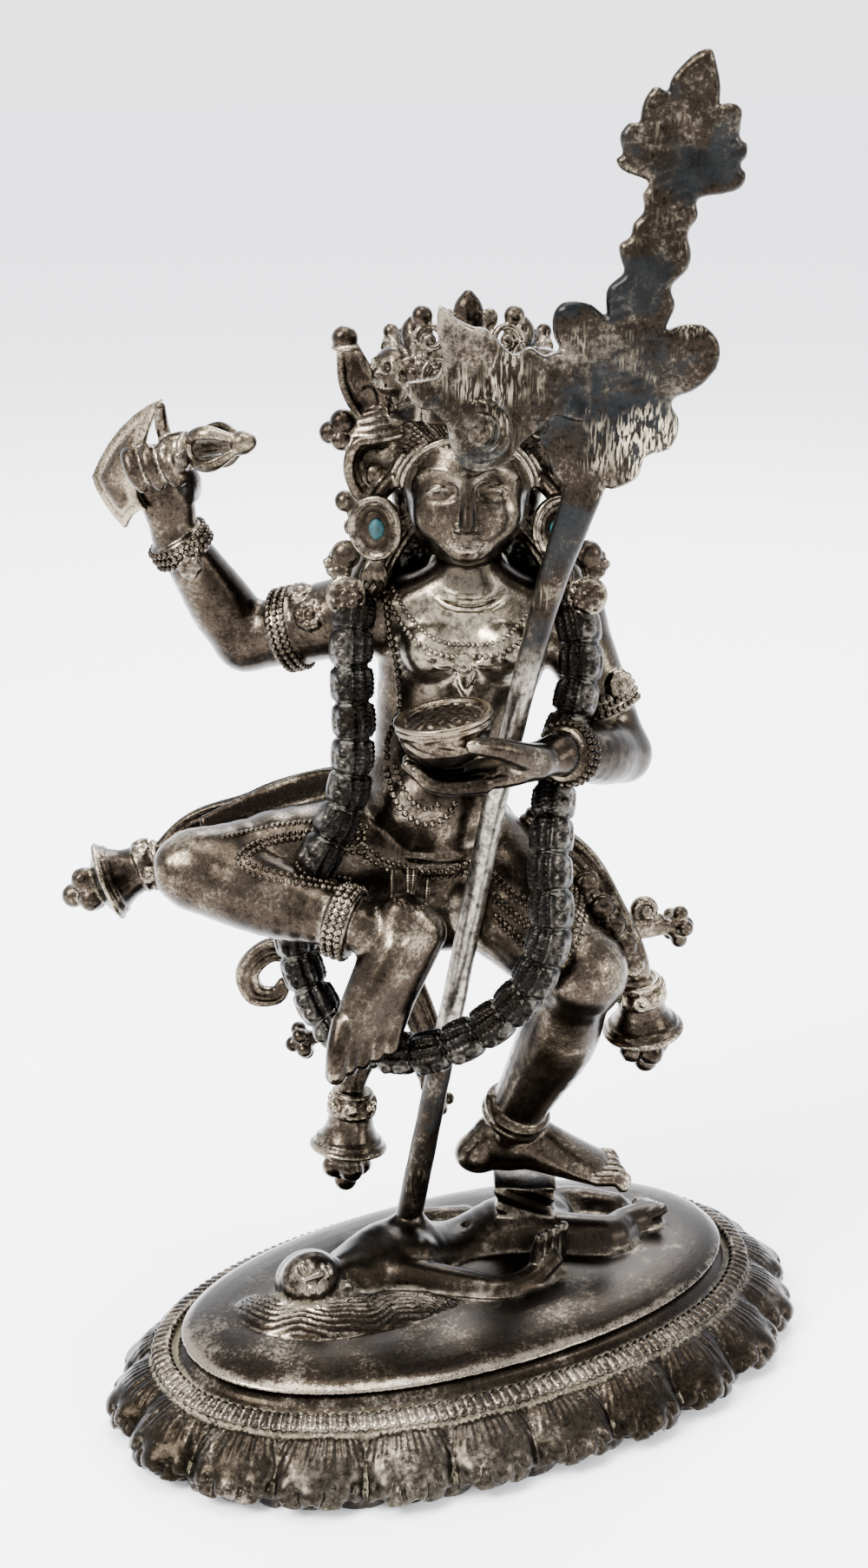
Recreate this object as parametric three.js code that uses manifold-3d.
// A silver image of a dancing protector deity, on one leg on a trampled figure over an oval lotus base.
// Millimetres, +Z up. The origin is on the underside, below the middle of the plinth's oval, and +X runs
// along the base's long axis.
import * as THREE from 'three';
import { mergeVertices } from 'three/addons/utils/BufferGeometryUtils.js';
import Module from 'manifold-3d';

const wasm = await Module();
wasm.setup();

const DEGREE = Math.PI / 180;
const FULL_TURN = 2 * Math.PI;

// The dancer faces this far round from the base's short axis.
const FIGURE_TURN = 29 * DEGREE;
// The dancer's frame stands this far off the base's middle, measured in the dancer's own directions.
const FIGURE_SHIFT = [-1.8, 0.6, 0];
// Space left between two pieces where one sits in or against the other.
const CLEARANCE = 0.4;
// Facets that lie closer to the form than this are merged.
const FACET_TOLERANCE = 0.2;

// The base: a cushion of oval plan, over a ring of beads and a skirt of petals.
const PLINTH_HALF_LENGTH = 45.4;
const PLINTH_HALF_WIDTH = 24.2;
const PLINTH_TOP = 14.9;
const OVAL_SQUARENESS = 2.14;
const PETAL_REACH = 13;
const PETAL_COUNT = 22;
const COLUMNS_PER_PETAL = 4;
// The petals stand out less behind: by this share at the middle of the back.
const BACK_SHORTENING = 0.3;

// The dancer: joints in the dancer's own frame, with -Y forward and +X to the dancer's left.
const SOLE_LEVEL = 26;
const HEAD = [2.3, 8, 139.3];
const RIGHT_SHOULDER = [-13.1, 12, 119.5];
const RIGHT_ELBOW = [-31.3, 17, 113.8];
const RIGHT_WRIST = [-40.9, 13, 130.7];
const LEFT_SHOULDER = [17.6, 12, 118.6];
const LEFT_ELBOW = [26.2, 9, 98.1];
const LEFT_WRIST = [15.8, -6, 102.8];
const RIGHT_HIP = [-8.5, 12, 80.5];
const RIGHT_KNEE = [-38, 0, 82.8];
const RIGHT_CALF = [-25, -3.6, 79];
const RIGHT_ANKLE = [-13, -8, 76.5];
const LEFT_HIP = [5, 12, 78];
const LEFT_KNEE = [20.1, -1, 66.5];
const LEFT_SHIN = [16.8, 4.4, 53];
const LEFT_ANKLE = [10.4, 11, 36.1];

const EAR_DISC_OUT = 13;
const STONE_HALF = [1.1, 0.8, 1.55];
const CROWN_CENTRE = [2.3, 7.4, 151.4];
const CROWN_HALF = 10.8;
// The crown's leaves: degrees round from the front, height and half-width.
const CROWN_LEAVES = [[0, 16, 7.4], [-60, 12.5, 6.2], [60, 12.5, 6.2], [-116, 8.5, 5.4], [116, 8.5, 5.4]];
// Half-widths of a crown leaf from its foot to its tip, as shares of its widest.
const LEAF_WIDTHS = [0.8, 1, 0.8, 1, 0.9, 0.36];

// The staff, from its foot on the trampled figure to the middle of its leaf-edged head and its flame-shaped top.
const STAFF_FOOT = [-6.4, 4.3, 21.9];
const STAFF_WRIST_LEVEL = [7.1, -3, 96.9];
const STAFF_HEAD = [20.9, -12, 157.3];
const STAFF_TOP = [30.6, -15, 190.1];
const STAFF_PLATE = 2.2;

const KNIFE_HEEL = [-46, 9.6, 143];
const KNIFE_GRIP = [-45, 9.4, 143.4];
const KNIFE_KNOB = [-29.2, 2, 146.7];
const KNIFE_TURN = -27 * DEGREE;
const KNIFE_THICKNESS = 1.8;

const CUP = [-0.6, -11, 107.6];
const CUP_RADIUS = 7.1;

const GARLAND_HEADS = 40;
const GARLAND_SIDES = 6;
const GARLAND_HEAD_RADIUS = 2.95;
// Half-widths along one head of the garland, from its joint with the head before it.
const GARLAND_PROFILE = [0.55, 1, 0.96];

const vector = (numbers) => new THREE.Vector3(...numbers);
const between = (a, b, share) => vector(a).lerp(vector(b), share).toArray();
const curveThrough = (points, closed = false) => new THREE.CatmullRomCurve3(points, closed, 'centripetal');
const flatShape = (points) => new THREE.Shape(points.map(([x, y]) => new THREE.Vector2(x, y)));

// A closed geometry as a solid, with its seams and poles merged.
function asSolid(geometry) {
  const bare = new THREE.BufferGeometry();
  bare.setAttribute('position', geometry.getAttribute('position'));
  bare.setIndex(geometry.index);
  const merged = mergeVertices(bare, 1e-4);
  const corners = merged.index.array;
  const kept = [];
  for (let i = 0; i < corners.length; i += 3) {
    const [a, b, c] = [corners[i], corners[i + 1], corners[i + 2]];
    if (a !== b && b !== c && c !== a) kept.push(a, b, c);
  }
  const vertProperties = merged.attributes.position.array;
  return new wasm.Manifold(new wasm.Mesh({ numProp: 3, vertProperties, triVerts: new Uint32Array(kept) }));
}

const joined = (solids) => solids.reduce((sum, next) => sum.add(next));
const larger = (a, b) => (b.volume() > a.volume() ? b : a);
// A cut can leave crumbs of a facet behind: only the body itself is kept.
const withoutCrumbs = (solid) => solid.decompose().reduce(larger);

// Turns a geometry made along `from` so that it runs along `axis`, and puts it at `centre`.
function placed(geometry, from, axis, centre) {
  const turn = new THREE.Quaternion().setFromUnitVectors(vector(from), vector(axis).normalize());
  return asSolid(geometry.applyQuaternion(turn).translate(...centre));
}

// The makers of every rounded form. All that one set makes is `extra` thicker than drawn, all round,
// so that a neighbour cut by it is left with that gap.
function makers(extra) {
  // A limb runs through stations of [x, y, z, half-width, half-depth]; its depth lies along `facing`.
  function limb(stations, { facing = [0, -1, 0], sides = 8, rows = stations.length + 3, cap = 0.6 } = {}) {
    const spine = curveThrough(stations.map(([x, y, z]) => vector([x, y, z])));
    const sizes = curveThrough(stations.map(([, , , width, depth = width]) => vector([width, depth, 0])));
    const geometry = new THREE.SphereGeometry(1, sides, rows);
    const place = geometry.getAttribute('position');
    for (let i = 0; i < place.count; i += 1) {
      const row = Math.floor(i / (sides + 1));
      const turn = ((i % (sides + 1)) / sides) * FULL_TURN;
      const along = THREE.MathUtils.clamp((row - 1) / (rows - 2), 0, 1);
      const tangent = spine.getTangent(along);
      const depthways = vector(facing).projectOnPlane(tangent).normalize();
      const sideways = depthways.clone().cross(tangent);
      const size = sizes.getPoint(along);
      const spot = spine.getPoint(along);
      if (row === 0) spot.addScaledVector(tangent, -cap * size.y - extra);
      else if (row === rows) spot.addScaledVector(tangent, cap * size.y + extra);
      else {
        spot.addScaledVector(sideways, -Math.cos(turn) * (size.x + extra));
        spot.addScaledVector(depthways, Math.sin(turn) * (size.y + extra));
      }
      place.setXYZ(i, spot.x, spot.y, spot.z);
    }
    return asSolid(geometry);
  }

  // A ball or egg, with its half-sizes along X, Y and Z.
  function ball(centre, halves, sides = 6, rows = 4) {
    const sizes = (Array.isArray(halves) ? halves : [halves, halves, halves]).map((half) => half + extra);
    const geometry = new THREE.SphereGeometry(1, sides, rows).rotateX(90 * DEGREE);
    return asSolid(geometry.scale(...sizes).translate(...centre));
  }

  // A turned form from `start` towards `end`; its profile is [radius, share of the way] pairs.
  function turned(start, end, profile, sides = 8) {
    const way = vector(end).sub(vector(start));
    const length = way.length();
    const points = profile.map(([radius, share]) => new THREE.Vector2(radius + extra, share * length));
    points[0].y -= extra;
    points.at(-1).y += extra;
    points.unshift(new THREE.Vector2(0, points[0].y));
    points.push(new THREE.Vector2(0, points.at(-1).y));
    return placed(new THREE.LatheGeometry(points, sides), [0, 1, 0], way.toArray(), start);
  }

  // A bangle round `axis`, with its two half-sizes and the half-thickness of its four-sided band.
  function ring(centre, axis, [halfWidth, halfDepth], band, around = 10) {
    const bandSides = 4;
    const hoop = new THREE.TorusGeometry(1, 1, bandSides, around);
    const place = hoop.getAttribute('position');
    const thick = band + extra;
    for (let i = 0; i < place.count; i += 1) {
      const tube = (Math.floor(i / (around + 1)) / bandSides) * FULL_TURN;
      const turn = ((i % (around + 1)) / around) * FULL_TURN;
      const out = thick * Math.cos(tube);
      place.setXYZ(i, Math.cos(turn) * (halfWidth + out), Math.sin(turn) * (halfDepth + out), thick * Math.sin(tube));
    }
    return placed(hoop, [0, 0, 1], axis, centre);
  }

  // A flat plate of an outline in its own plane, centred on its thickness.
  function plate(outline, thickness, frame) {
    const bevel = { bevelEnabled: extra > 0, bevelSize: extra, bevelThickness: extra, bevelSegments: 1 };
    const slab = new THREE.ExtrudeGeometry(outline, { depth: thickness, curveSegments: 5, steps: 1, ...bevel });
    return asSolid(slab.translate(0, 0, -thickness / 2).applyMatrix4(frame));
  }

  // A flower-like knob, with its petals round `axis`.
  function bloom(centre, axis, half, petals = 4) {
    const geometry = new THREE.SphereGeometry(1, 2 * petals, 3);
    const place = geometry.getAttribute('position');
    for (let i = 0; i < place.count; i += 1) {
      const out = ((i % (2 * petals + 1)) % 2 ? half : 0.7 * half) + extra;
      place.setXYZ(i, place.getX(i) * out, place.getY(i) * (0.75 * half + extra), place.getZ(i) * out);
    }
    return placed(geometry, [0, 1, 0], axis, centre);
  }

  return { limb, ball, turned, ring, plate, bloom };
}

// The crisp lower edge of the plinth, seen from above.
class Oval extends THREE.Curve {
  getPoint(share, target = new THREE.Vector3()) {
    const angle = share * FULL_TURN;
    const squared = (value) => Math.sign(value) * Math.abs(value) ** (2 / OVAL_SQUARENESS);
    return target.set(PLINTH_HALF_LENGTH * squared(Math.cos(angle)), PLINTH_HALF_WIDTH * squared(Math.sin(angle)), 0);
  }
}
const oval = new Oval();
oval.arcLengthDivisions = 1200;

// Rings of the base from the ground up: [measure out from the oval, height, and how far the middle of each
// petal stands out and up from those].
const BASE_RINGS = [
  [PETAL_REACH - 2.2, 0, 1.5, 0],
  [PETAL_REACH - 1.7, 1.5, 1.7, 0.5],
  [PETAL_REACH - 3.4, 3.9, 1.4, 1],
  [PETAL_REACH - 6.6, 6.2, 0, 1.3],
  [4.7, 8.3, 0, 0.4],
  [4.5, 9.3, 0, 0],
  [3.5, 10.2, 0, 0],
  [1.4, 10.2, 0, 0],
  [0, 12.6, 0, 0],
  [-1.2, 13.9, 0, 0],
  [-4, PLINTH_TOP, 0, 0],
];

function basePlinth() {
  const columns = PETAL_COUNT * COLUMNS_PER_PETAL;
  const rows = BASE_RINGS.length + 2;
  const profile = Array.from({ length: rows }, (_, row) => new THREE.Vector2(row % (rows - 1) ? 1 : 0, row));
  const geometry = new THREE.LatheGeometry(profile, columns);
  const place = geometry.getAttribute('position');
  for (let i = 0; i < place.count; i += 1) {
    const row = i % rows;
    const column = Math.floor(i / rows) % columns;
    if (row === 0 || row === rows - 1) {
      place.setXYZ(i, 0, 0, row ? PLINTH_TOP : 0);
      continue;
    }
    const [out, height, swell, lift] = BASE_RINGS[row - 1];
    const petal = Math.sin(((column % COLUMNS_PER_PETAL) / COLUMNS_PER_PETAL) * Math.PI) ** 0.6;
    const edge = oval.getPointAt(column / columns);
    const along = oval.getTangentAt(column / columns);
    const shortening = out > 0 ? BACK_SHORTENING * Math.max(0, edge.y / PLINTH_HALF_WIDTH) : 0;
    const reach = (out + swell * petal) * (1 - shortening);
    place.setXYZ(i, edge.x + along.y * reach, edge.y - along.x * reach, height + lift * petal);
  }
  return asSolid(geometry);
}

// The trampled figure lies on its back along the plinth with its head towards -X. A block on its hip
// carries the dancer's sole.
function trampledFigure({ limb, ball, turned }) {
  const up = { facing: [0, 0, 1], sides: 6 };
  const inGround = PLINTH_TOP - 1;
  const blockTop = SOLE_LEVEL - CLEARANCE;
  const limbs = [
    [[-15, 4, 16, 6, 3], [-6, 5, 17, 7.5, 4], [4, 5, 15.6, 5.6, 3], [14, 4, 16.6, 6.4, 5], [21, 3, 16.4, 4, 3.6]],
    [[-22, 3, 17, 3], [-14, 4, 16, 4, 3]],
    [[15, 1, 16, 4], [25, -6.5, 16.6, 3.6], [30, -5, 17, 2.8], [35, -4.6, 17.4, 2.6, 2]],
    [[16, 6, 16, 4], [27, 7, 15.6, 3.2], [33, 2.4, 16, 2.4]],
    [[-9, -1, 16.4, 2.8], [-2, -7, 15.8, 2.6], [3, -11, 15.6, 2.4], [8, -11.4, 16.2, 2], [12.4, -10.4, 18, 2.2, 1.6]],
    [[-9, 10, 15.6, 2.6], [1, 15, 15, 2.2], [10, 13, 14.8, 1.8]],
    [[-35, 1, 15, 3, 1.3], [-28, -3.2, 15.6, 5.6, 2.2], [-18, -6.2, 15.6, 5.6, 2.2], [-6, -10.4, 15, 2, 0.9]],
  ].map((stations) => limb(stations, up));
  const fingers = [0, 1, 2, 3].map((finger) => {
    const [x, y] = [10.8 + 1.2 * finger, -11 + 0.5 * finger];
    const stations = [[x, y, 17.4, 1], [x + 0.5, y, 21.2, 0.9], [x + 1.4, y + 0.4, 23, 0.6]];
    return limb(stations, { sides: 4, rows: 4 });
  });
  const toes = [0, 1, 2, 3].map((toe) => ball([36, -6.6 + 1.3 * toe, 18.2], [1.2, 0.9, 1.5], 4));
  const breast = turned([-3.5, 6.9, 16], [-3.5, 6.9, STAFF_FOOT[2] - 0.6], [[5, 0], [4.4, 0.6], [2.8, 1]]);
  const block = new THREE.BoxGeometry(8, 6.4, blockTop - inGround).rotateZ(-FIGURE_TURN)
    .translate(15.3, 2.4, (blockTop + inGround) / 2);
  return joined([
    ...limbs, ...fingers, ...toes, breast, asSolid(block),
    ball([-24.6, 1.8, 18.8], [6.4, 5.8, 4.8], 8, 6), ball([-25.2, -1.4, 20.2], [3.8, 3.2, 3.2]),
  ]);
}

function lotusBase() {
  const shift = vector(FIGURE_SHIFT).applyAxisAngle(vector([0, 0, 1]), -FIGURE_TURN).toArray();
  return basePlinth().add(trampledFigure(makers(0)).translate(shift));
}

function body({ limb, ball }) {
  const torso = [
    [-0.5, 12, 72, 8, 7], [-1.8, 12, 80.5, 12.4, 9.5], [-2.9, 11, 89.8, 11.2, 9], [-2.1, 12, 95.4, 10, 7.8],
    [0.2, 12, 106.5, 11.4, 8], [2.1, 11.5, 115, 12.4, 8], [2.7, 10.5, 122.5, 7, 5],
  ];
  const upright = [
    [[...RIGHT_SHOULDER, 5.4], [2.7, 11.5, 120, 6, 6], [...LEFT_SHOULDER, 5.2]],
    [[2.7, 11, 118, 6], [2.8, 9.5, 125, 5], [2.6, 9, 131, 5]],
    [[...RIGHT_SHOULDER, 6], [...between(RIGHT_SHOULDER, RIGHT_ELBOW, 0.5), 5.4], [...RIGHT_ELBOW, 4.5]],
    [[...RIGHT_ELBOW, 4.5], [...between(RIGHT_ELBOW, RIGHT_WRIST, 0.4), 4.8], [...RIGHT_WRIST, 3.5]],
    [[...LEFT_SHOULDER, 5.4], [...between(LEFT_SHOULDER, LEFT_ELBOW, 0.5), 4.5], [...LEFT_ELBOW, 4.2]],
    [[...LEFT_ELBOW, 4.2], [...between(LEFT_ELBOW, LEFT_WRIST, 0.5), 4.2], [...LEFT_WRIST, 3.1]],
    [[...RIGHT_HIP, 9.5, 9], [...between(RIGHT_HIP, RIGHT_KNEE, 0.5), 8], [...RIGHT_KNEE, 6.4]],
    [[...LEFT_HIP, 9.5], [...between(LEFT_HIP, LEFT_KNEE, 0.5), 8.6], [...LEFT_KNEE, 6.8]],
    [[...LEFT_KNEE, 6.6], [...LEFT_SHIN, 6], [...LEFT_ANKLE, 4.4], [9.6, 11.6, 31, 4.2]],
  ].map((stations) => limb(stations));
  const raisedShin = [[...RIGHT_KNEE, 6.2], [...RIGHT_CALF, 5.8], [...RIGHT_ANKLE, 4]];
  const breasts = [[-3, 4.4, 115.4], [7.8, 4.4, 115.4]].map((centre) => ball(centre, [5, 5.4, 5]));
  return joined([limb(torso, { sides: 10 }), ...upright, limb(raisedShin, { facing: [0, -0.3, 1] }), ...breasts]);
}

function hands({ limb }) {
  const thin = { sides: 4, rows: 4 };
  const palmRight = [[...RIGHT_WRIST, 3.4, 3], [-41.8, 11.6, 137, 4.4, 2.4], [-42.8, 10, 142.6, 4, 2]];
  const palmLeft = [[...LEFT_WRIST, 3, 2.6], [9.4, -9.2, 102.2, 4.4, 2], [4, -10.6, 101.2, 3.8, 1.5]];
  const fingersRight = [0, 1, 2, 3].map((finger) => {
    const [x, y, z] = [-46 + 2.1 * finger, 10 - 1.1 * finger, 141.5 + 0.5 * finger];
    return limb([[x, y, z, 1.3], [x + 0.2, y - 3, z + 3, 1.3], [x + 1.6, y - 4, z + 6.4, 1]], thin);
  });
  const fingersLeft = [0, 1, 2, 3].map((finger) => {
    const [y, tip] = [-14.2 + 2.3 * finger, -3.4 - 0.5 * finger];
    return limb([[5, y, 101.2, 1.3], [0.4, y, 100.8, 1.25], [tip, y + 0.4, 102.6, 0.9]], thin);
  });
  const thumbRight = [[-39, 9, 138, 1.8], [-37.4, 5.6, 141, 1.5], [-38.6, 3.8, 144.6, 1.1]];
  const thumbLeft = [[10.4, -12, 103.4, 1.8], [7.6, -14.8, 105.6, 1.5], [4.2, -17.6, 107, 1.1]];
  const palms = [limb(palmRight), limb(palmLeft, { facing: [0, 0, 1] })];
  return joined([...palms, ...fingersRight, ...fingersLeft, limb(thumbRight, thin), limb(thumbLeft, thin)]);
}

function feet({ limb }) {
  const standing = [
    [5.2, 12, 29.4, 3.6, 3.2], [12, 11.4, 31, 4.2, 4.6], [21, 9.4, 28.8, 4.8, 3], [26, 8.4, 27.6, 4, 1.9],
  ];
  const raised = [
    [-6.8, -8, 78.6, 4, 3.2], [-9.4, -9, 72.6, 4.8, 3.8], [-11.8, -11, 65, 4.8, 2.8], [-13.4, -11.8, 61.6, 4.2, 1.9],
  ];
  const thin = { sides: 4, rows: 3 };
  const standingToes = [0, 1, 2, 3, 4].map((toe) => {
    const y = 4.4 + 2 * toe;
    return limb([[24.4, y, 27.4, 1.2], [28.8 - 0.7 * toe, y - 0.6, 27, 1.1]], thin);
  });
  const raisedToes = [0, 1, 2, 3, 4].map((toe) => {
    const x = -17.4 + 1.9 * toe;
    return limb([[x + 0.8, -11.6, 63.4, 1.1], [x, -12.4, 58.6 + 0.4 * toe, 1]], thin);
  });
  const soles = [limb(standing, { facing: [0, 0, 1] }), limb(raised, { facing: [1, -0.6, 0] })];
  return joined([...soles, ...standingToes, ...raisedToes]);
}

function head({ limb, ball }) {
  const [x, y, z] = HEAD;
  const nose = limb([[x, y - 10, z + 3, 0.8], [x, y - 11.2, z - 0.6, 1.5]], { sides: 4, rows: 3 });
  const ears = [-1, 1].map((side) => ball([x + side * 9.6, y + 0.9, z - 0.7], [1.9, 2.4, 4.1]));
  const hairFall = [[x, 17, 149, 8, 3.5], [x, 20.5, 138, 9.4, 4], [x, 21, 124, 9.6, 3], [x, 20.6, 107, 4, 1.8]];
  const locks = [-1, 1].map((side) => {
    const stations = [[x + side * 6, 11, 137, 2.6], [x + side * 12, 9.4, 131, 3], [x + side * 15.6, 5.6, 125, 3]];
    return limb(stations, { sides: 6, rows: 5 });
  });
  return joined([
    ball([x, y, z + 1], [9.9, 10.4, 11.4], 12, 6),
    ball([x, y - 3.4, z - 5], [7.4, 7, 6.6], 8, 6),
    ball([x, y - 9.8, z - 4.4], [2.6, 1.2, 1.1]),
    ball([x, y + 3, z + 4], [11.2, 11.4, 12], 10, 5),
    nose, ...ears, ...locks, limb(hairFall),
  ]);
}

// A crown leaf stands on the band at `angle` round from the front: a scalloped, pointed plate with a jewel.
function crownLeaf({ plate, bloom }, angle, height, halfWidth) {
  const out = new THREE.Vector3(Math.sin(angle), -Math.cos(angle), 0.12).normalize();
  const side = new THREE.Vector3(Math.cos(angle), Math.sin(angle), 0);
  const up = out.clone().cross(side);
  const foot = vector(CROWN_CENTRE).addScaledVector(out, CROWN_HALF);
  const frame = new THREE.Matrix4().makeBasis(side, up, out).setPosition(foot);
  const edge = LEAF_WIDTHS.map((width, step) => [width * halfWidth, (step * height) / LEAF_WIDTHS.length - 1]);
  const outline = [...edge, [0, height], ...edge.map(([across, high]) => [-across, high]).reverse()];
  const jewel = foot.clone().addScaledVector(up, 0.38 * height).addScaledVector(out, 1);
  return plate(flatShape(outline), 2, frame).add(bloom(jewel.toArray(), out.toArray(), 0.42 * halfWidth));
}

function crown(make) {
  const { ring, limb, bloom } = make;
  const band = ring(CROWN_CENTRE, [0, -0.1, 1], [CROWN_HALF - 0.6, CROWN_HALF - 0.2], 1.4, 12);
  const leaves = CROWN_LEAVES.map(([angle, height, halfWidth]) => crownLeaf(make, angle * DEGREE, height, halfWidth));
  const sides = [-1, 1].map((side) => {
    const at = (across, y, z) => [HEAD[0] + side * across, y, z];
    const ribbon = [
      [...at(11, 8, 154), 3, 1.8], [...at(15.6, 6, 147.5), 4.4, 1.8], [...at(15, 5, 140.6), 3.4, 1.6],
      [...at(17, 5, 135.4), 2.2, 1.4],
    ];
    const stem = [[...at(12, 7, 152), 2.2], [...at(16, 6, 157), 1.6], [...at(17.8, 6, 160.4), 1.4]];
    const buds = [at(17.8, 6, 161), at(20, 6, 148.6)].map((spot) => bloom(spot, [side, 0, 0.4], 2));
    return joined([limb(ribbon, { sides: 6 }), limb(stem, { sides: 5, rows: 4 }), ...buds]);
  });
  return joined([band, ...leaves, ...sides]);
}

const earDisc = (side) => [HEAD[0] + side * EAR_DISC_OUT, 3, 134.3];

function jewellery({ ring, bloom, limb, turned }) {
  const bangle = (from, to, share, radius, width) => {
    const half = width / 2 / vector(to).distanceTo(vector(from));
    return turned(between(from, to, share - half), between(from, to, share + half), [[radius, 0], [radius, 1]]);
  };
  const discs = [-1, 1].map((side) => {
    const [x, y, z] = earDisc(side);
    return joined([
      turned([x, y + 1.2, z], [x, y - 1.1, z], [[3.2, 0], [3.4, 1]]),
      ring([x, y - 1, z], [0, 1, 0], [3.4, 4], 0.8, 8),
      limb([[x, y, z + 3, 1], [HEAD[0] + side * 9, 7, 140.4, 1.5]], { sides: 5, rows: 3 }),
    ]);
  });
  const rosettes = [[-14.6, 3.6, 124, 3.2], [19.4, 3.6, 124, 3.2], [-22.4, 9.8, 120.6, 2.6], [4.6, 1.8, 118.6, 2.2]];
  return joined([
    ring([2.7, 8.6, 121.8], [0, -0.42, 1], [10.8, 8.6], 0.9),
    ring([-1.8, 12, 85], [0, -0.2, 1], [12.2, 9.6], 1, 12),
    bangle(RIGHT_SHOULDER, RIGHT_ELBOW, 0.5, 6.5, 3.4), bangle(LEFT_SHOULDER, LEFT_ELBOW, 0.56, 5.5, 3.2),
    bangle(RIGHT_ELBOW, RIGHT_WRIST, 0.92, 4.7, 2.2), bangle(LEFT_ELBOW, LEFT_WRIST, 0.86, 4.5, 2.2),
    bangle(RIGHT_CALF, RIGHT_ANKLE, 0.84, 5.4, 2.2), bangle(LEFT_SHIN, LEFT_ANKLE, 0.94, 5.5, 2.2),
    ...discs, ...rosettes.map(([x, y, z, half]) => bloom([x, y, z], [Math.sign(x), -1, 0], half)),
  ]);
}

// The apron is a short cloth hung with loops of beads, which clings to the hips and both thighs.
function apron({ limb }) {
  const onThigh = (hip, knee, sizes) => limb([0, 0.4, 0.61].map((share, i) => [...between(hip, knee, share), sizes[i]]),
    { cap: 0.3 });
  return onThigh(RIGHT_HIP, RIGHT_KNEE, [10.2, 9.1, 8.5]).add(onThigh(LEFT_HIP, LEFT_KNEE, [10.3, 9.6, 9.1]));
}

// A bell hangs at the end of a sash, mouth along its way, with a cluster of small balls at the mouth.
function sashBell({ turned, bloom }, collar, mouth) {
  const way = vector(mouth).sub(vector(collar)).normalize();
  const shell = [[3.4, 0], [2.8, 0.1], [4, 0.24], [4.3, 0.66], [6, 0.92], [2, 1.1], [1.4, 1.2]];
  const beyond = (reach) => vector(mouth).addScaledVector(way, reach).toArray();
  const [cluster, end] = [bloom(beyond(3.4), way.toArray(), 3.9, 3), bloom(beyond(6), way.toArray(), 1.6, 2)];
  return joined([turned(collar, mouth, shell), cluster, end]);
}

function sashes(make) {
  const { limb, ring, bloom } = make;
  const bands = [
    [[-8, 17, 87, 7, 1.4], [-20, 16.4, 87.4, 6, 1.3], [-31, 14.6, 85.6, 4.2, 1.2], [-39, 14.4, 83.6, 3.6, 1.2],
      [-46.4, 14, 78.6, 2.4, 1.3]],
    [[12, 14, 84, 4, 2], [19.4, 8, 80.6, 3.6, 1.4], [23.4, 3.6, 74.6, 3.8, 1.4], [27.6, 3.6, 67, 3.6, 1.4],
      [29.8, 6.4, 61, 2.4, 1.4]],
    [[-2, 19, 82, 6, 1.6], [-4, 20.4, 68, 4.6, 1.4], [-10.6, 19.8, 52, 3.8, 1.3], [-15.4, 18, 41, 2.6, 1.3],
      [-16, 16.6, 36.6, 2, 1.3]],
    [[-6, 20, 76, 3.4, 1.3], [-16, 20.4, 67, 3, 1.2], [-25, 18.6, 61, 2.6, 1.2], [-30.6, 18, 61, 1.8, 1.2]],
    [[-8, 20.4, 58, 3, 1.2], [-3.4, 19.6, 46, 2.6, 1.2], [-3, 18.4, 38, 1.8, 1.2]],
  ].map((stations) => limb(stations, { sides: 6, rows: 7 }));
  const bells = [
    [[-45.4, 14, 78.8], [-54, 13, 75.6]], [[29.6, 6.8, 61.6], [30.6, 8, 52.4]], [[-15.8, 16.8, 37], [-16.6, 16, 27.4]],
  ].map(([collar, mouth]) => sashBell(make, collar, mouth));
  const flowers = [
    [[25.4, 5, 71], [36.4, 11.4, 69.2], 3.2], [[-12, 19.2, 50], [-24.6, 18, 46], 3],
    [[-4, 19, 41], [-1.6, 18, 34.4], 2.4], [[27, 6, 69.4], [29.8, 10.4, 73.4], 2.2],
  ].map(([from, to, half]) => {
    const stem = limb([[...from, 1.9], [...to, 1.3]], { sides: 5, rows: 3 });
    return stem.add(bloom(to, vector(to).sub(vector(from)).toArray(), half));
  });
  return joined([...bands, ...bells, ...flowers, ring([-30.6, 18, 58], [0, 1, 0], [2.6, 2.6], 1.3, 8)]);
}

function dancer(make) {
  return joined([body, hands, feet, head, crown, jewellery, apron, sashes].map((form) => form(make)));
}

// The garland hangs from both shoulders, under the hair behind the neck and down before the knees.
const GARLAND_PATH = curveThrough([
  [-14.6, 3.4, 119], [-14.6, 1.6, 111], [-14.4, 0.4, 103.3], [-15.6, 0, 94], [-20, -2, 84.6], [-23.6, 1, 76],
  [-22.4, 0, 66], [-16.4, -4, 57.4], [-3.8, -9.4, 56.8], [8.6, -11.4, 64.6], [14.4, -12.4, 76], [14.6, -9.4, 88.3],
  [16, -1, 100], [19.2, 2.6, 112], [18.4, 6.4, 121.6], [15, 14, 126.4], [7, 19.4, 126], [-2, 19.4, 126],
  [-10.4, 14, 126.4], [-13.6, 7.6, 123.4],
].map(vector), true);

function garland() {
  const steps = GARLAND_PROFILE.length * GARLAND_HEADS;
  const geometry = new THREE.TorusGeometry(1, 1, GARLAND_SIDES, steps);
  const place = geometry.getAttribute('position');
  for (let i = 0; i < place.count; i += 1) {
    const step = i % (steps + 1) % steps;
    const turn = (Math.floor(i / (steps + 1)) / GARLAND_SIDES) * FULL_TURN;
    const tangent = GARLAND_PATH.getTangentAt(step / steps);
    const across = vector([0, -1, 0]).projectOnPlane(tangent).normalize();
    const half = GARLAND_HEAD_RADIUS * GARLAND_PROFILE[step % GARLAND_PROFILE.length];
    const spot = GARLAND_PATH.getPointAt(step / steps).addScaledVector(across, half * Math.cos(turn))
      .addScaledVector(across.clone().cross(tangent), half * Math.sin(turn));
    place.setXYZ(i, spot.x, spot.y, spot.z);
  }
  return asSolid(geometry);
}

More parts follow.
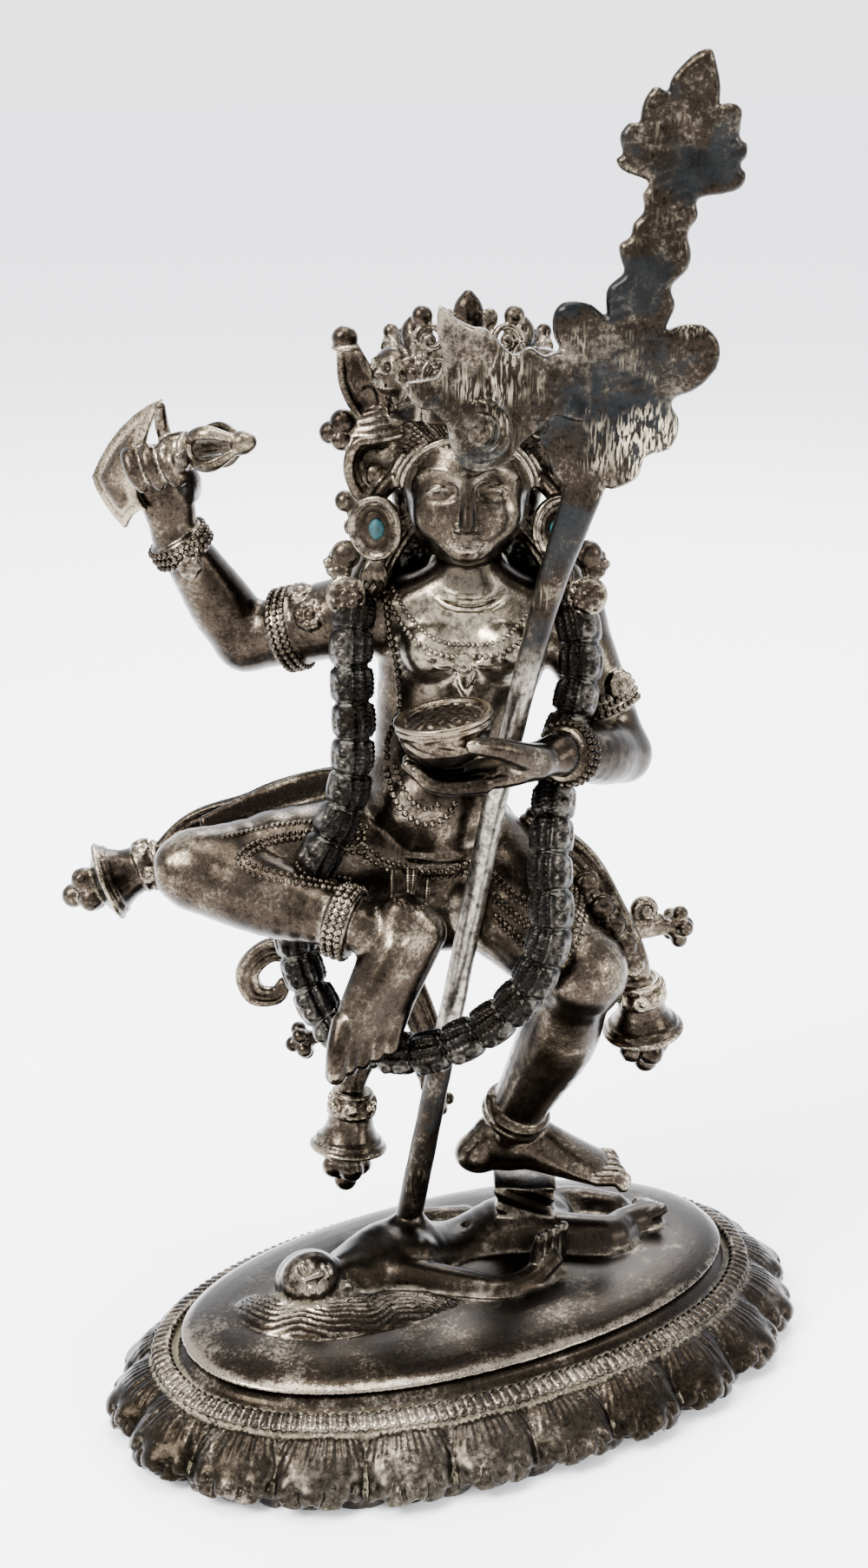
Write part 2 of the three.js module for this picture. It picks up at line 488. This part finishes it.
// The groove that the dancer's body has where the garland lies against it, in two overlapping runs.
function garlandGroove({ limb }) {
  const radius = 1.06 * GARLAND_HEAD_RADIUS;
  const spots = GARLAND_PATH.getSpacedPoints(GARLAND_HEADS).map((spot) => [...spot.toArray(), radius]);
  const half = GARLAND_HEADS / 2;
  const runs = [spots.slice(0, half + 2), [...spots.slice(half), spots[1]]];
  return joined(runs.map((run) => limb(run, { rows: run.length })));
}

// The frame of the staff's flat head: X across it and Y up along it, in a plane that leans with the staff.
function staffHeadFrame() {
  const up = vector(STAFF_TOP).sub(vector(STAFF_HEAD)).normalize();
  const across = vector([1, 0, 0]).projectOnPlane(up).normalize();
  return new THREE.Matrix4().makeBasis(across, up, across.clone().cross(up)).setPosition(...STAFF_HEAD);
}

// The leaf edge of the staff's head is a row of round lobes, each [x, y, radius] in the head's own frame.
const STAFF_LOBES = [
  [0, 0, 7.8], [6.4, -6.2, 4.3], [9, 6.6, 4.3], [5.6, 6, 4], [-6.6, 6, 3.3], [-2.8, -8.6, 4.2], [3, -10.4, 3.6],
  [0.6, 10.2, 4], [0.6, 15.2, 3.8], [0.2, 19.8, 3.6], [0.4, 24.4, 3.2], [-1.6, 29.8, 5.2], [3.4, 31, 4.6],
  [-1.2, 36, 3.8], [-6.8, 29, 1.5], [-6.2, 32, 1.7], [-4.4, 37, 1.6], [3.6, 37.4, 1.6], [6.8, 33.6, 1.6],
  [7.8, 30.2, 1.4],
];
const FLAME_POINT = [[2, 34], [2, 38], [0.6, 43], [-1.4, 44.6], [-3.2, 42], [-4.2, 37]];

function staffShaft({ limb }) {
  const stations = [
    [...STAFF_FOOT, 2.1], [...STAFF_WRIST_LEVEL, 1.8], [13.5, -6, 125.8, 2], [18.4, -9.6, 143, 2.8, 1.8],
    [...STAFF_HEAD, 3, 1.2],
  ];
  return limb(stations, { rows: 9, cap: 0.1 });
}

function staff(make) {
  const { limb, ball, ring, plate } = make;
  const frame = staffHeadFrame();
  const lobes = STAFF_LOBES.map(([x, y, radius]) => {
    const outline = new THREE.Shape();
    outline.absellipse(x, y, radius, radius, 0, FULL_TURN);
    return plate(outline, STAFF_PLATE, frame);
  });
  const scarf = [
    [16, -12.4, 156, 5.4, 1.4], [9.6, -15.6, 156.4, 4.6, 1.2], [3.6, -18.6, 156, 4.4, 1.2], [-3.6, -20, 157, 3, 1],
  ];
  const scarfPoint = [[2, -18.6, 158, 3.4, 1], [0, -20.6, 163.6, 2.2, 0.9], [-1.6, -22, 168, 0.5, 0.5]];
  return joined([
    staffShaft(make), ...lobes, plate(flatShape(FLAME_POINT), STAFF_PLATE, frame),
    limb(scarf, { facing: [0.3, -1, 0], sides: 6, rows: 7 }), limb(scarfPoint, { sides: 6, rows: 7 }),
    ring([3.7, -18.4, 151.9], [0, 1, 0.3], [3.7, 3.7], 1.3), ball([3.7, -19, 151.9], [2, 1.6, 2]),
  ]);
}

function knife({ limb, ball, turned, plate }) {
  const crescent = new THREE.Shape();
  crescent.moveTo(5.2, 9);
  crescent.quadraticCurveTo(-3, 6, -7.6, -3.2);
  crescent.quadraticCurveTo(-6.6, -7, -2, -10.4);
  crescent.quadraticCurveTo(-1.4, -6, 0.4, -4);
  crescent.quadraticCurveTo(1, 3, 5.2, 9);
  const upright = new THREE.Matrix4().makeRotationX(90 * DEGREE);
  const blade = new THREE.Matrix4().makeRotationZ(KNIFE_TURN).multiply(upright).setPosition(...KNIFE_HEEL);
  const handle = [[1.8, 0], [1.5, 0.25], [2.4, 0.42], [1.6, 0.5], [3, 0.6], [3.2, 0.72], [1.6, 0.92], [1, 1]];
  const prongs = [45, 135, 225, 315].map((angle) => {
    const spot = (share, out) => {
      const [x, y, z] = between(KNIFE_GRIP, KNIFE_KNOB, share);
      return [x, y + out * Math.cos(angle * DEGREE), z + out * Math.sin(angle * DEGREE)];
    };
    return limb([[...spot(0.5, 1.2), 0.9], [...spot(0.66, 3.4), 0.9], [...spot(0.9, 1.4), 0.7]], { sides: 4, rows: 5 });
  });
  return joined([
    plate(crescent, KNIFE_THICKNESS, blade), turned(KNIFE_GRIP, KNIFE_KNOB, handle), ...prongs, ball(KNIFE_KNOB, 1.5),
  ]);
}

// The cup leans a little to the dancer's right.
function skullCup({ turned }) {
  const [x, y, z] = CUP;
  const rim = CUP_RADIUS;
  const bowl = [[1.6, 0], [4.6, 0.14], [6.4, 0.42], [rim, 0.8], [rim, 0.96], [rim - 1, 1], [2.4, 1.1]];
  return turned([x + 0.5, y, z - 4.4], [x - 0.6, y - 0.3, z + 3], bowl, 12);
}

function stone({ ball }, side) {
  const [x, y, z] = earDisc(side);
  return ball([x, y - 1.6, z], STONE_HALF, 8, 4);
}

const drawn = makers(0);
const grown = makers(CLEARANCE);
const underSole = asSolid(new THREE.BoxGeometry(60, 60, 20).translate(15, 10, SOLE_LEVEL - 10));
const neighbours = [garlandGroove, staffShaft, knife, skullCup].map((form) => form(grown));
const stoneBeds = [-1, 1].map((side) => stone(grown, side));
const figure = dancer(drawn).subtract(joined([...neighbours, ...stoneBeds, underSole]));

// A solid as a three.js mesh with its own metal or stone.
function meshOf(name, solid, color, roughness, metalness = 1) {
  const simple = withoutCrumbs(solid.asOriginal().simplify(FACET_TOLERANCE));
  const { vertProperties, triVerts } = simple.getMesh();
  const geometry = new THREE.BufferGeometry();
  geometry.setAttribute('position', new THREE.BufferAttribute(vertProperties, 3));
  geometry.setIndex(new THREE.BufferAttribute(triVerts, 1));
  geometry.computeVertexNormals();
  const mesh = new THREE.Mesh(geometry, new THREE.MeshStandardMaterial({ color, roughness, metalness }));
  mesh.name = name;
  return mesh;
}

const standing = new THREE.Group();
standing.rotation.z = -FIGURE_TURN;
standing.position.copy(vector(FIGURE_SHIFT).applyAxisAngle(vector([0, 0, 1]), -FIGURE_TURN));
standing.add(
  meshOf('dancing_figure', figure, 0x9a9184, 0.38),
  meshOf('ritual_staff', staff(drawn), 0x7d705c, 0.45),
  meshOf('flaying_knife', knife(drawn), 0x8b8376, 0.4),
  meshOf('skull_cup', skullCup(drawn), 0x7f776a, 0.45),
  meshOf('garland_of_heads', garland(), 0x23262b, 0.55),
  meshOf('turquoise_right', stone(drawn, -1), 0x2f8f8a, 0.5, 0),
  meshOf('turquoise_left', stone(drawn, 1), 0x2f8f8a, 0.5, 0),
);

const image = new THREE.Group();
image.add(meshOf('lotus_base', lotusBase(), 0x5d5549, 0.5), standing);

export default image;
